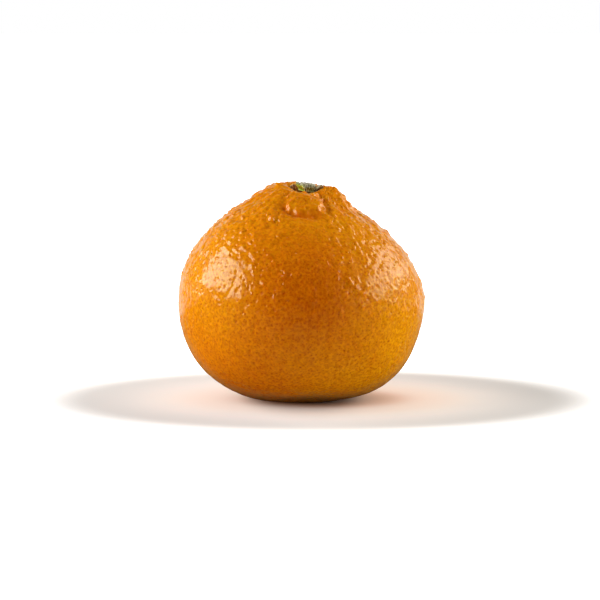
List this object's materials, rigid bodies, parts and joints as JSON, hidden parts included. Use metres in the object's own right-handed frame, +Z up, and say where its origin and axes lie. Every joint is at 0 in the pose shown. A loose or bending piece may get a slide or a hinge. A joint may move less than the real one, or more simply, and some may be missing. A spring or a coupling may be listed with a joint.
{
  "type": "mandarin",
  "caption": "Whole unpeeled mandarin with a soft neck, the dried calyx and cut stalk in its seat, and a small flat spot it rests on.",
  "frame": {"origin": "on the flat spot that the fruit rests on, under the middle of its body", "axes": "+Z up from the flat spot to the calyx in the neck, -Y towards the side with the low knob and crease under the calyx"},
  "size_m": [0.0676, 0.0673, 0.0601],
  "materials": {
    "peel": "waxy, dimpled orange rind with a soft gloss",
    "sepal": "dry, matt olive-grey with brown edges",
    "stalk": "dry, matt pale grey-brown, corky"
  },
  "bodies": {
    "root": {"fruit": "peel", "calyx": "sepal", "stem_stub": "stalk"}
  },
  "joints": []
}
